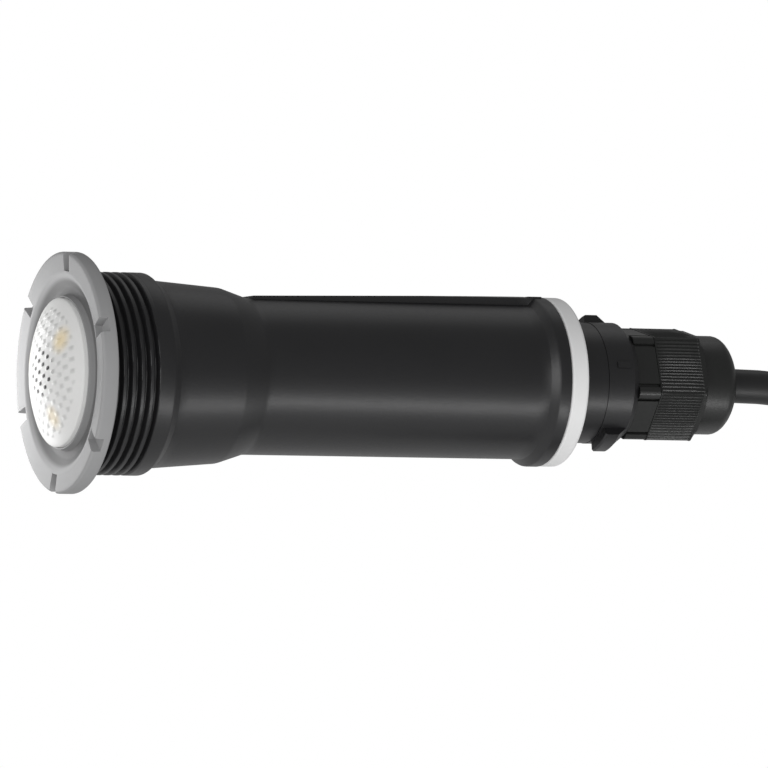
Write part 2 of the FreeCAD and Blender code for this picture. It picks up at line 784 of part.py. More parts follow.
NODES = {
    "bezel_ring": bezel_ring,
    "bezel_o_ring": lambda: seated_ring(SPIGOT_GROOVE, SPIGOT_GROOVE_R, BODY_BORE),
    "lens": lens,
    "lens_gasket": lambda: ring(LENS_FLANGE_R, LENS_GASKET_BORE, LENS_FLANGE_BACK, LENS_GASKET_BACK),
    "lens_retainer": lambda: ring(LENS_FLANGE_R, RETAINER_BORE, LENS_GASKET_BACK, RETAINER_BACK),
    "body_shell": body_shell,
    "led_board": lambda: led_disc(LED_BOARD_X, LED_BOARD_X + LED_BOARD_T, BOARD_R),
    "thermal_pad": lambda: led_disc(
        LED_BOARD_X + LED_BOARD_T, LED_BOARD_X + LED_BOARD_T + PAD_T, PAD_R
    ),
    "led_emitters": led_emitters,
    "led_board_screws": led_board_screws,
    "heat_sink": heat_sink,
    "led_leads": led_leads,
    "driver_tray": driver_tray,
    "driver_board": driver_board,
    "tray_screws": tray_screws,
    "bridge_rectifier": lambda: on_board(*BRIDGE_AT, *BRIDGE_SIZE),
    "smoothing_capacitors": smoothing_capacitors,
    "buck_inductor": buck_inductor,
    "inductor_winding": inductor_winding,
    "driver_chips": driver_chips,
    "terminal_block": terminal_block,
    "rear_cap": rear_cap,
    "rear_cap_o_ring": lambda: seated_ring(CAP_GROOVE, CAP_GROOVE_R, END_BORE),
    "seat_gasket": seat_gasket,
    "bayonet_collar": bayonet_collar,
    "gland_body": gland_body,
    "gland_o_ring": lambda: seated_ring(
        (JOURNAL_END - GLAND_RING_DEPTH, JOURNAL_END), GLAND_STUB_R, GLAND_RING_R
    ),
    "gland_seal": gland_seal,
    "gland_washer": lambda: ring(WASHER_R, CABLE_R + CABLE_GAP, SEAL_END, WASHER_END),
    "gland_nut": gland_nut,
    "cable_inner": lambda: rod(CABLE_R, JACKET_START, NUT_END),
    "inner_cores": inner_cores,
    "cable_lead": cable_lead,
    "cable_coil": cable_coil,
    "cable_tail": cable_tail,
    "coil_tie": coil_tie,
    "cable_end_cores": lambda: cores_down(CORE_R, CORE_TAIL, 0.0),
    "core_ferrules": lambda: cores_down(FERRULE_R, FERRULE, CORE_TAIL),
}

os.makedirs("parts", exist_ok=True)
for name, make in NODES.items():
    shape = make()
    print(name, "valid" if shape.isValid() else "INVALID", len(shape.Solids), "solids", round(shape.Volume, 1))
    shape.exportStep("parts/" + name + ".step")
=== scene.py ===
import math
import bmesh
import bpy
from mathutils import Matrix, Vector


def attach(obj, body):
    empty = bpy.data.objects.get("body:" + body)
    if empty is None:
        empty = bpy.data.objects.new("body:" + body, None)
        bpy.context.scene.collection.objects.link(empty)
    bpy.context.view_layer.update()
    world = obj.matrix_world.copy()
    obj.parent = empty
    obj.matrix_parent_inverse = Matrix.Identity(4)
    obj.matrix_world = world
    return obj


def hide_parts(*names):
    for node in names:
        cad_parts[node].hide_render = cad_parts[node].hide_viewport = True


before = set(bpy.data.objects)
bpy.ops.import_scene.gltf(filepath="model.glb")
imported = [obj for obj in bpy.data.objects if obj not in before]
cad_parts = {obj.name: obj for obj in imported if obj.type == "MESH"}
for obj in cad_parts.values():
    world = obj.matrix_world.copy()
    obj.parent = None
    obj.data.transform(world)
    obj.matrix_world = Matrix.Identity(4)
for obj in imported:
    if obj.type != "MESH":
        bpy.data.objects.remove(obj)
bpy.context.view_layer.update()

MM = 0.001
TAU = 2 * math.pi

# The design: sizes in millimetres, turns in degrees, and the tones of the bezel and the lens, among
# them painted shade on the bezel's dish and on the lens
FLANGE_R = 28.7
FLANGE_T = 4.0
LAND_R = 23.6
HUB_X = -3.6
RECESS_X = -0.6
RECESS_R = 24.4
LENS_R = 17.7
LENS_APEX = -9.1
LENS_DOME_R = 36.5
LENS_WALL = 2.4
LENS_INNER_R = 15.3
PRISM_Y = 2.38
PRISM_Z = 1.375
PRISM_TURN = 10.0
PRISM_HEIGHT = 0.45
PRISM_FIELD_R = 15.6
PRISM_LAST_R = 14.6
PRISM_TONE = (0.5, 0.5, 0.495)
PRISM_TONE_SHARE = 0.6
CHAMBER = (-0.6, 0.2)
CHAMBER_CORE = 5.0
CHAMBER_R = 7.4
# Painted shade: the lens is darkened where the dark lamp chamber shows through it
CHAMBER_SHADE_TONE = (0.02, 0.02, 0.02)
LED_GLOW_CORE = 0.6
LED_GLOW_TONE = (0.92, 0.72, 0.36)
# Each glow: y, z, reach and strength
LED_GLOWS = [(-9.0, 7.3, 4.3, 0.62), (-4.2, -10.8, 3.9, 0.42), (9.3, 3.7, 3.2, 0.25)]
NOTCHES = 6
NOTCH_W = 3.4
NOTCH_LENGTH = 4.5
NOTCH_DEPTH = 2.2
NOTCH_START = 21.0
RIM_ROUND = 0.7
FACE_END_X = -3.66
DISH_X = -3.655
# Painted shade: the bezel's dish around the lens is darkened to stand in for the shade in the
# recess
DISH_SHADE_TONE = (0.10, 0.10, 0.10)
DISH_SHADE_SHARE = 0.8
BACK_ROUND = 0.5
THREAD_R = 24.15
THREAD_ROOT = 22.75
THREAD_PITCH = 2.31
THREAD_FIRST = 2.2
THREAD_END = 13.1
THREAD_STEPS = 116
GROOVE_FLOOR_HALF = 0.05
GROOVE_FLANK = 0.31
THREAD_RUN_IN = 0.8
THREAD_RUN_OUT = 1.3
CONE_X = 18.4
CONE_R = 22.4
TUBE_R = 18.75
REAR_FLANGE_R = 20.5
BODY_END = 120.2
RIB_HALF = 4.5
RIB_BASE_RISE = 0.9
RIB_X = 44.0
RIB_START_Z = 19.1
RIB_END_Z = 20.35
RIB_STOP = 119.0
TUBE_END = 115.4
JOURNAL_END = 141.0
HEX_END = 146.5
HEX_HALF_FLATS = 12.6
HEX_CORNER_R = 14.35
HEX_SLOT_CENTRE = 5.2
HEX_SLOT_HALF = 0.42
HEX_SLOT_DEPTH = 0.7
HEX_TURN = -11.6
NUT_X = 146.6
NUT_FLUTED_END = 159.4
NUT_HALF_FLATS = 12.7
NUT_ROUND_R = 14.5
NUT_DOME_R = 12.0
NUT_END = 170.0
NUT_BORE = 10.45
FLUTES = 6 * 17
FLUTE_DEPTH = 0.28
COLUMNS_PER_FLUTE = 6

# Profiles of the turned parts, as (x, r) points
BEZEL_DISH = [
    (DISH_X, FLANGE_R - NOTCH_LENGTH), (-3.6, LAND_R), (-3.47, 23.3), (-3.2, 22.8), (-2.85, 22.25),
    (-2.5, 21.7), (-2.2, 21.2), (-1.95, 20.75), (-1.77, 20.4), (-1.7, 20.05), (-1.7, 18.95),
    (-1.76, 18.65), (-1.95, 18.4), (-2.4, 18.24), (-3.4, 18.2), (-3.55, 18.15), (HUB_X, 18.03),
    (HUB_X, 17.9),
]
BEZEL_BACK = [
    (HUB_X + 0.1, LENS_R + 0.1), (-1.0, LENS_R + 0.1), (-1.0, 19.0), (9.0, 19.0), (9.0, 21.0),
    (6.2, 21.0), (6.2, 19.9), (4.6, 19.9), (4.6, 21.0), (RECESS_X, 21.0), (RECESS_X, RECESS_R),
    (0.0, RECESS_R), (0.0, FLANGE_R - BACK_ROUND),
]
LENS_SKIRT = [(-1.0, LENS_R), (-1.0, 18.9), (1.5, 18.9), (1.5, 15.6), (-3.0, 15.6)]
BODY_MOUTH = [(RECESS_X, 21.05), (RECESS_X, THREAD_R - 0.1)]
BODY_LAND = [
    (15.9, THREAD_R), (16.2, THREAD_R - 0.06), (16.5, THREAD_R - 0.24), (18.1, 22.6), (18.4, 22.44),
]
CONE_END = (35.2, 21.05)
BODY_NECK = [CONE_END, (35.6, 20.99), (36.1, 20.86), (41.6, 19.05), (42.1, 18.86), (42.8, TUBE_R)]
REAR_FLANGE = [
    (TUBE_END, TUBE_R), (TUBE_END + 0.06, TUBE_R + 0.04), (116.75, 20.15), (116.95, 20.35),
    (117.2, 20.46), (117.5, REAR_FLANGE_R), (RIB_STOP, REAR_FLANGE_R),
    (RIB_STOP + 0.15, REAR_FLANGE_R), (119.5, REAR_FLANGE_R),
]
REAR_EDGE_ROUND = 0.35
BODY_INSIDE = [
    (BODY_END, 13.55), (112.0, 13.55), (112.0, 16.6), (42.5, 16.6), (35.6, 19.4), (12.1, 19.4),
    (12.1, 21.05),
]
HEX_FRONT = [(129.0, 4.6), (129.0, 9.9), (JOURNAL_END, 9.9)]
HEX_STUB = [(HEX_END, 10.4), (156.0, 10.4), (156.0, 6.6), (148.0, 6.6), (148.0, 4.6)]
NUT_GRIP_X = (149.5, 152.5, 155.5, 158.0)
NUT_GRIP_END = 158.2
NUT_CHAMFER_X = 158.6
NUT_CHAMFER_R = 13.3
NUT_DOME = [
    (NUT_FLUTED_END + 0.05, 12.2), (159.8, NUT_DOME_R), (165.6, NUT_DOME_R), (166.2, 11.88),
    (166.8, 11.6), (167.4, 11.15), (168.0, 10.5), (168.5, 9.8), (168.9, 9.05), (169.25, 8.2),
    (169.55, 7.25), (169.8, 6.3), (169.92, 5.6), (NUT_END, 5.1), (NUT_END, 4.5),
]
NUT_INSIDE = [(165.0, 4.5), (159.75, 8.4), (159.75, NUT_BORE)]

# The cable, in metres
CABLE_D = 0.0083
EXIT = (0.170, 0.0, 0.0)
COIL_X = 0.2012
COIL_Z = -0.1608
COIL_INSIDE_R = 0.046
COIL_OUTSIDE_R = 0.0532
JOIN_ANGLE = 12.0
POINTS_PER_TURN = 18
INNER_TURNS = 4
OUTER_TURNS = 3
CROSSING = 0.28
CROSSING_LIFT = 0.16
TAIL_LENGTH = 0.060
LEAD_ROUTE = [EXIT, (0.207, 0.0, 0.0), (0.236, -0.003, -0.027), (0.239, -0.013, -0.100)]

# The view
VIEW_AZIMUTH = -23.2
VIEW_ELEVATION = -2.58
VIEW_TARGET = Vector((0.0797, 0.0, -0.0012))
VIEW_DISTANCE = 2.4
PIXELS_PER_METRE = 4165.0
IMAGE_SIDE = 768
SENSOR = 36.0

# The studio
FLOOR_Z = -0.30
FLOOR_R = 1.6
FLOOR_GLOW = 0.22
AMBIENT = 0.25
# Each light: name, place, aim, size, power and spread in degrees
LIGHTS = [
    ("overhead", (0.1, 0.35, 1.0), (0.08, 0.0, 0.0), (1.4, 0.7), 1.2, 180.0),
    ("left_wall", (-1.0, -0.35, 0.10), (0.0, 0.0, 0.0), (0.7, 0.6), 1.2, 110.0),
    ("far_left", (-0.022, 0.052, -0.004), (-0.004, 0.015, -0.003), (0.016, 0.06), 0.036, 180.0),
    ("near_left", (-0.45, -0.80, 0.05), (0.05, 0.0, 0.0), (1.3, 0.6), 1.5, 110.0),
    ("floor_strip", (0.25, -0.32, -0.28), (0.08, 0.0, 0.0), (1.3, 0.07), 0.36, 80.0),
]
WHITE = (1.0, 1.0, 1.0, 1.0)


# ---------------------------------------------------------------- camera, floor and light

def make_camera():
    data = bpy.data.cameras.new("photo_camera")
    camera = bpy.data.objects.new("photo_camera", data)
    bpy.context.scene.collection.objects.link(camera)
    a, e = math.radians(VIEW_AZIMUTH), math.radians(VIEW_ELEVATION)
    back = Vector((math.sin(a) * math.cos(e), -math.cos(a) * math.cos(e), math.sin(e)))
    camera.location = VIEW_TARGET + back * VIEW_DISTANCE
    camera.rotation_euler = back.to_track_quat("Z", "Y").to_euler()
    data.sensor_width = SENSOR
    data.lens = PIXELS_PER_METRE * VIEW_DISTANCE * SENSOR / IMAGE_SIDE
    data.clip_end = 50.0
    bpy.context.scene.camera = camera
    bpy.context.scene.view_settings.view_transform = "Standard"


def area_light(name, place, aim, size, power, spread):
    data = bpy.data.lights.new(name, "AREA")
    data.shape = "RECTANGLE"
    data.size, data.size_y = size
    data.energy = power
    data.spread = math.radians(spread)
    light = bpy.data.objects.new(name, data)
    bpy.context.scene.collection.objects.link(light)
    light.location = place
    light.rotation_euler = (Vector(place) - Vector(aim)).to_track_quat("Z", "Y").to_euler()
    light.visible_camera = False


def make_world():
    """White where the camera looks past the object, and a soft grey that lights it."""
    world = bpy.data.worlds.new("studio")
    bpy.context.scene.world = world
    world.use_nodes = True
    nodes, links = world.node_tree.nodes, world.node_tree.links
    nodes.clear()
    out = nodes.new("ShaderNodeOutputWorld")
    mix = nodes.new("ShaderNodeMixShader")
    path = nodes.new("ShaderNodeLightPath")
    white = nodes.new("ShaderNodeBackground")
    white.inputs["Color"].default_value = WHITE
    white.inputs["Strength"].default_value = 1.0
    ambient = nodes.new("ShaderNodeBackground")
    ambient.inputs["Color"].default_value = WHITE
    ambient.inputs["Strength"].default_value = AMBIENT
    links.new(path.outputs["Is Camera Ray"], mix.inputs[0])
    links.new(ambient.outputs[0], mix.inputs[1])
    links.new(white.outputs[0], mix.inputs[2])
    links.new(mix.outputs[0], out.inputs[0])


def make_floor():
    mesh = bpy.data.meshes.new("floor")
    maker = bmesh.new()
    bmesh.ops.create_circle(maker, cap_ends=True, segments=96, radius=FLOOR_R)
    maker.to_mesh(mesh)
    maker.free()
    floor = bpy.data.objects.new("floor", mesh)
    bpy.context.scene.collection.objects.link(floor)
    floor.location = (0.1, 0.0, FLOOR_Z)
    paper = surface("floor_paper", (0.92, 0.92, 0.92), 0.8, grain=900, bump=0.02)
    shader = paper.node_tree.nodes["Principled BSDF"]
    shader.inputs["Emission Color"].default_value = WHITE
    shader.inputs["Emission Strength"].default_value = FLOOR_GLOW
    floor.data.materials.append(paper)


# ---------------------------------------------------------------- materials

def surface(name, color, roughness, metallic=0.0, grain=1500.0, bump=0.05, vary=0.06, spread=0.06,
            transmission=0.0, ior=1.5, specular=0.5, streaks=(1.0, 1.0, 1.0)):
    """A procedural finish: fine grain in the bump and roughness, and a slow change of colour."""
    material = bpy.data.materials.new(name)
    material.use_nodes = True
    nodes, links = material.node_tree.nodes, material.node_tree.links
    shader = nodes["Principled BSDF"]
    shader.inputs["Metallic"].default_value = metallic
    shader.inputs["Transmission Weight"].default_value = transmission
    shader.inputs["IOR"].default_value = ior
    shader.inputs["Specular IOR Level"].default_value = specular
    place = nodes.new("ShaderNodeTexCoord")
    stretch = nodes.new("ShaderNodeMapping")
    stretch.inputs["Scale"].default_value = streaks
    links.new(place.outputs["Object"], stretch.inputs["Vector"])
    slow = nodes.new("ShaderNodeTexNoise")
    slow.inputs["Scale"].default_value = 70.0
    slow.inputs["Detail"].default_value = 4.0
    links.new(place.outputs["Object"], slow.inputs["Vector"])
    tint = nodes.new("ShaderNodeValToRGB")
    low, high = tint.color_ramp.elements
    low.position, high.position = 0.3, 0.7
    low.color = tuple(c * (1 - vary) for c in color) + (1.0,)
    high.color = tuple(min(1.0, c * (1 + vary)) for c in color) + (1.0,)
    links.new(slow.outputs["Fac"], tint.inputs["Fac"])
    links.new(tint.outputs["Color"], shader.inputs["Base Color"])
    fine = nodes.new("ShaderNodeTexNoise")
    fine.inputs["Scale"].default_value = grain
    fine.inputs["Detail"].default_value = 3.0
    links.new(stretch.outputs["Vector"], fine.inputs["Vector"])
    rough = nodes.new("ShaderNodeMapRange")
    rough.inputs["To Min"].default_value = max(0.02, roughness - spread)
    rough.inputs["To Max"].default_value = min(1.0, roughness + spread)
    links.new(fine.outputs["Fac"], rough.inputs["Value"])
    links.new(rough.outputs["Result"], shader.inputs["Roughness"])
    relief = nodes.new("ShaderNodeBump")
    relief.inputs["Strength"].default_value = bump
    relief.inputs["Distance"].default_value = 0.0002
    links.new(fine.outputs["Fac"], relief.inputs["Height"])
    links.new(relief.outputs["Normal"], shader.inputs["Normal"])
    return material


def calc(material, operation, a, b=0.0):
    """The result of a maths node on two sockets or numbers."""
    node = material.node_tree.nodes.new("ShaderNodeMath")
    node.operation = operation
    for socket, value in zip(node.inputs, (a, b)):
        if isinstance(value, float):
            socket.default_value = value
        else:
            material.node_tree.links.new(value, socket)
    return node.outputs[0]


def axes_of(material, turn=0.0):
    """The object's X, Y and Z at the shaded point, in metres, turned about X by some degrees."""
    nodes, links = material.node_tree.nodes, material.node_tree.links
    place = nodes.new("ShaderNodeTexCoord")
    turned = nodes.new("ShaderNodeMapping")
    turned.inputs["Rotation"].default_value = (math.radians(turn), 0.0, 0.0)
    split = nodes.new("ShaderNodeSeparateXYZ")
    links.new(place.outputs["Object"], turned.inputs["Vector"])
    links.new(turned.outputs["Vector"], split.inputs["Vector"])
    return split.outputs


def stepped(material, value, low, high):
    """A socket that goes smoothly from 0 at low to 1 at high."""
    nodes, links = material.node_tree.nodes, material.node_tree.links
    step = nodes.new("ShaderNodeMapRange")
    step.interpolation_type = "SMOOTHSTEP"
    step.inputs["From Min"].default_value = low
    step.inputs["From Max"].default_value = high
    links.new(value, step.inputs["Value"])
    return step.outputs["Result"]


def near(material, place, centre, inner, outer):
    """1 within the inner distance of a line along X, falling to 0 at the outer distance, in mm."""
    dy = calc(material, "SUBTRACT", place["Y"], centre[0] * MM)
    dz = calc(material, "SUBTRACT", place["Z"], centre[1] * MM)
    squares = calc(material, "ADD", calc(material, "MULTIPLY", dy, dy),
                   calc(material, "MULTIPLY", dz, dz))
    return stepped(material, calc(material, "SQRT", squares), outer * MM, inner * MM)


def tint(material, factor, color):
    """Mixes a colour over what the material has so far."""
    nodes, links = material.node_tree.nodes, material.node_tree.links
    base = nodes["Principled BSDF"].inputs["Base Color"]
    mix = nodes.new("ShaderNodeMix")
    mix.data_type = "RGBA"
    colors = [s for s in mix.inputs if s.type == "RGBA"]
    links.new(factor, mix.inputs["Factor"])
    links.new(base.links[0].from_socket, colors[0])
    colors[1].default_value = color + (1.0,)
    links.new([s for s in mix.outputs if s.type == "RGBA"][0], base)


def paint(node, material):
    """Gives a CAD node its finish."""
    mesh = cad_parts[node].data
    mesh.materials.clear()
    mesh.materials.append(material)


def paint_pair(node, axis, limit, below, above):
    """Gives the two wires of a CAD node a finish each, by which side of a place they lie on."""
    paint(node, below)
    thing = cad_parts[node]
    thing.data.materials.append(above)
    for face in thing.data.polygons:
        face.material_index = int((thing.matrix_world @ face.center)[axis] > limit)


# ---------------------------------------------------------------- mesh helpers

def new_object(name, mesh, body, material, replaced=()):
    thing = bpy.data.objects.new(name, mesh)
    bpy.context.scene.collection.objects.link(thing)
    thing.data.materials.append(material)
    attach(thing, body)
    if replaced:
        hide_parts(*replaced)
    return thing


def ring_mesh(name, rows, angles, smooth_angle=35.0):
    """A closed mesh around X. Each row is a pair (x, r) in mm or a function of the angle that gives
    one, and the last row joins the first. Angle 0 is the -Y side and 90 the top."""
    maker = bmesh.new()
    grid = []
    for row in rows:
        line = []
        for angle in angles:
            x, r = row(angle) if callable(row) else row
            a = math.radians(angle)
            line.append(maker.verts.new((x * MM, -r * math.cos(a) * MM, r * math.sin(a) * MM)))
        grid.append(line)
    count = len(angles)
    for low, high in zip(grid, grid[1:] + grid[:1]):
        for i in range(count):
            j = (i + 1) % count
            maker.faces.new((low[i], low[j], high[j], high[i]))
    bmesh.ops.remove_doubles(maker, verts=maker.verts, dist=1e-7)
    bmesh.ops.recalc_face_normals(maker, faces=maker.faces)
    mesh = bpy.data.meshes.new(name)
    maker.to_mesh(mesh)
    maker.free()
    mesh.polygons.foreach_set("use_smooth", [True] * len(mesh.polygons))
    mesh.set_sharp_from_angle(angle=math.radians(smooth_angle))
    return mesh


def arc(centre, radius, start, end, steps):
    """Points of a round edge in the (x, r) plane; angles in degrees, 0 along +x and 90 along +r."""
    points = []
    for i in range(steps + 1):
        a = math.radians(start + (end - start) * i / steps)
        points.append((centre[0] + radius * math.cos(a), centre[1] + radius * math.sin(a)))
    return points


def between(a, b, steps):
    """Points from a towards b, without b."""
    return [tuple(p + (q - p) * i / steps for p, q in zip(a, b)) for i in range(steps)]


def smooth_step(t):
    t = min(1.0, max(0.0, t))
    return t * t * (3 - 2 * t)


def even_angles(count):
    return [360.0 * i / count for i in range(count)]


def with_edges(angles, edges, width=0.05):
    """The angles, with a pair of columns close together at each edge."""
    kept = [a for a in angles if all(abs((a - e + 180) % 360 - 180) > 2 * width for e in edges)]
    return sorted(kept + [(e + k * width) % 360 for e in edges for k in (-1, 1)])


# ---------------------------------------------------------------- bezel

def notch_centres():
    return [NOTCH_START + i * 360.0 / NOTCHES for i in range(NOTCHES)]


def notch_edges(r):
    half = math.degrees(math.asin(NOTCH_W / 2 / r))
    return [(c + k * half) % 360 for c in notch_centres() for k in (-1, 1)]


def in_notch(angle, half):
    return any(abs((angle - c + 180) % 360 - 180) < half for c in notch_centres())


def bezel_material():
    """Light grey moulding, with painted shade that makes its dish around the lens darker than its
    face.
    """
    material = surface("grey_moulding", (0.315, 0.315, 0.318), 0.6, grain=1000, vary=0.03,
                       specular=0.12)
    place = axes_of(material)
    dish = calc(material, "SUBTRACT", near(material, place, (0.0, 0.0), 21.6, 23.0),
                near(material, place, (0.0, 0.0), 18.3, 18.5))
    # Painted shade darkens the dish between the lens and the face
    tint(material, calc(material, "MULTIPLY", dish, DISH_SHADE_SHARE), DISH_SHADE_TONE)
    return material


def make_bezel(material):
    floor_x = -FLANGE_T + NOTCH_DEPTH
    inner_r = FLANGE_R - NOTCH_LENGTH
    half = math.degrees(math.asin(NOTCH_W / 2 / (FLANGE_R - NOTCH_LENGTH / 2)))

    def notched(x, r):
        """A point of the front that drops to the notch's floor between the notch's walls."""
        return lambda angle: (max(x, floor_x) if in_notch(angle, half) else x, r)

    front = arc((-FLANGE_T + RIM_ROUND, FLANGE_R - RIM_ROUND), RIM_ROUND, 90, 180, 6)
    front += between((-FLANGE_T, FLANGE_R - RIM_ROUND), (FACE_END_X, inner_r + 0.05), 8)[1:]
    rows = [notched(x, r) for x, r in front + [(DISH_X, inner_r + 0.04)]]
    rows += BEZEL_DISH + BEZEL_BACK
    rows += arc((-BACK_ROUND, FLANGE_R - BACK_ROUND), BACK_ROUND, 0, 90, 4)
    rows += [(floor_x + 0.02, FLANGE_R)]
    angles = with_edges(even_angles(180), notch_edges(FLANGE_R - NOTCH_LENGTH / 2), 0.12)
    mesh = ring_mesh("bezel", rows, angles, 30.0)
    return new_object("bezel", mesh, "housing", material, ("bezel_ring",))


# ---------------------------------------------------------------- body

def thread_radius(x, angle):
    """The right-hand pipe thread: rounded crests and V grooves that fade into the plain land."""
    phase = (x - THREAD_FIRST) / THREAD_PITCH + angle / 360.0
    away = abs((phase + 0.5) % 1.0 - 0.5)
    crest = smooth_step((away - GROOVE_FLOOR_HALF) / GROOVE_FLANK)
    fade = smooth_step(x / THREAD_RUN_IN) * smooth_step((THREAD_END - x) / THREAD_RUN_OUT)
    return THREAD_R - (THREAD_R - THREAD_ROOT) * (1 - crest) * fade


def threaded(x):
    return lambda angle: (x, thread_radius(x, angle))


def rib_top(x):
    """Height of the tapering rib's flat top above the axis."""
    return RIB_START_Z + (REAR_FLANGE_R - RIB_START_Z) * (x - RIB_X) / (TUBE_END - RIB_X)


def ribbed(x, r, half_angle):
    """A point of the tube or rear flange, lifted to the rib's top near the top of the light."""
    def row(angle):
        off = abs((angle - 90.0 + 180) % 360 - 180)
        if off >= half_angle or x > RIB_STOP:
            return x, r
        if x > TUBE_END:
            return x, RIB_END_Z / math.cos(math.radians(off))
        lifted = rib_top(x) / math.cos(math.radians(off))
        return x, max(r, min(REAR_FLANGE_R, lifted))
    return row


def make_body(material):
    half_angle = math.degrees(math.asin(RIB_HALF / (TUBE_R + RIB_BASE_RISE)))
    rows = list(BODY_MOUTH)
    rows += [threaded(THREAD_END * i / THREAD_STEPS) for i in range(THREAD_STEPS + 1)]
    rows += BODY_LAND
    rows += between((CONE_X + 0.15, CONE_R), CONE_END, 8)[1:]
    rows += BODY_NECK
    rows += [(RIB_X - 0.01, TUBE_R)]
    tube = [(RIB_X + 0.01, TUBE_R)] + between((RIB_X + 1, TUBE_R), (TUBE_END, TUBE_R), 24)
    rows += [ribbed(x, r, half_angle) for x, r in tube + REAR_FLANGE]
    round_r = REAR_EDGE_ROUND
    rows += arc((BODY_END - round_r, REAR_FLANGE_R - round_r), round_r, 90, 0, 4)
    rows += BODY_INSIDE
    angles = with_edges(even_angles(216), [90 - half_angle, 90 + half_angle], 0.25)
    mesh = ring_mesh("body", rows, angles, 40.0)
    return new_object("body", mesh, "housing", material, ("body_shell",))


# ---------------------------------------------------------------- lens

def make_lens(material):
    """The domed lens: smooth outside, with a lattice of prisms moulded into the dome's inside."""
    centre_x = LENS_APEX + LENS_DOME_R
    inner_r = LENS_DOME_R - LENS_WALL

    def inside(r):
        def row(angle):
            a = math.radians(angle + PRISM_TURN)
            wave_y = math.cos(math.pi * r * math.cos(a) / PRISM_Y)
            wave_z = math.cos(math.pi * r * math.sin(a) / PRISM_Z)
            height = PRISM_HEIGHT * max(0.0, wave_y * wave_z) if r < PRISM_LAST_R else 0.0
            return centre_x - math.sqrt(inner_r ** 2 - r * r) + height, r
        return row

    rim_x = centre_x - math.sqrt(LENS_DOME_R ** 2 - LENS_R ** 2)
    outside = [0.001 + (LENS_R - 0.25) * i / 28 for i in range(29)]
    rows = [(centre_x - math.sqrt(LENS_DOME_R ** 2 - r * r), r) for r in outside]
    rows += [(rim_x + 0.02, LENS_R - 0.08), (rim_x + 0.2, LENS_R)]
    rows += LENS_SKIRT
    rows += [inside(LENS_INNER_R - (LENS_INNER_R - 0.001) * i / 48) for i in range(49)]
    mesh = ring_mesh("lens_dome", rows, even_angles(288), 30.0)
    return new_object("lens_dome", mesh, "housing", material, ("lens",))


def lens_material():
    """Clear plastic with a lattice of prisms, with painted shade of the dark lamp chamber in front
    of its middle and warm in front of the LEDs."""
    material = surface("clear_polycarbonate", (0.8, 0.8, 0.79), 0.42, grain=500, bump=0.0,
                       vary=0.02, spread=0.04, transmission=0.12, ior=1.45, specular=0.08)
    nodes, links = material.node_tree.nodes, material.node_tree.links
    shader = nodes["Principled BSDF"]
    place, along = axes_of(material), axes_of(material, PRISM_TURN)
    waves = []
    for axis, size in (("Y", PRISM_Y), ("Z", PRISM_Z)):
        phase = calc(material, "MULTIPLY", along[axis], math.pi / (size * MM))
        waves.append(calc(material, "COSINE", phase))
    lattice = calc(material, "MULTIPLY", *waves)
    field = near(material, place, (0.0, 0.0), PRISM_FIELD_R - 1.0, PRISM_FIELD_R)
    raised = calc(material, "MULTIPLY", calc(material, "MAXIMUM", lattice, 0.0), field)
    dots = stepped(material, lattice, 0.3, 0.65)
    opening = near(material, place, CHAMBER, CHAMBER_CORE, CHAMBER_R)
    chamber = calc(material, "MULTIPLY", dots, opening)
    tint(material, calc(material, "MULTIPLY", raised, PRISM_TONE_SHARE), PRISM_TONE)
    # Painted shade of the dark lamp chamber on the lens's dots
    tint(material, chamber, CHAMBER_SHADE_TONE)
    for y, z, reach, strength in LED_GLOWS:
        patch = near(material, place, (y, z), LED_GLOW_CORE, reach)
        tint(material, calc(material, "MULTIPLY", patch, strength), LED_GLOW_TONE)
    relief = nodes.new("ShaderNodeBump")
    relief.inputs["Strength"].default_value = 0.5
    relief.inputs["Distance"].default_value = 0.0004
    links.new(raised, relief.inputs["Height"])
    links.new(relief.outputs["Normal"], shader.inputs["Normal"])
    return material


# ---------------------------------------------------------------- gland nut

def hex_radius(angle, half_flats, limit):
    off = (angle - HEX_TURN) % 60 - 30
    return min(limit, half_flats / math.cos(math.radians(off)))


def slotted(x):
    """A row of the hexagon, let in where two narrow slots run beside each corner."""
    def row(angle):
        off = math.radians((angle - HEX_TURN) % 60 - 30)
        along = abs(HEX_HALF_FLATS * math.tan(off))
        inside = abs(along - HEX_SLOT_CENTRE) < HEX_SLOT_HALF
        depth = HEX_SLOT_DEPTH if inside else 0.0
        return x, hex_radius(angle, HEX_HALF_FLATS, HEX_CORNER_R) - depth
    return row


def make_hex(material):
    """The gland's body: a hexagon with slots, and its threaded stubs."""
    edges = []
    for corner in range(6):
        middle = HEX_TURN + 30 + 60 * corner
        for side in (-1, 1):
            for k in (-1, 1):
                along = HEX_SLOT_CENTRE + k * HEX_SLOT_HALF
                off = math.degrees(math.atan(along / HEX_HALF_FLATS))
                edges.append((middle + side * off) % 360)
    angles = with_edges(even_angles(180), edges, 0.12)
    rows = HEX_FRONT + [slotted(JOURNAL_END), slotted(HEX_END)] + HEX_STUB
    mesh = ring_mesh("slotted_hex", rows, angles, 20.0)
    return new_object("slotted_hex", mesh, "housing", material, ("gland_body",))


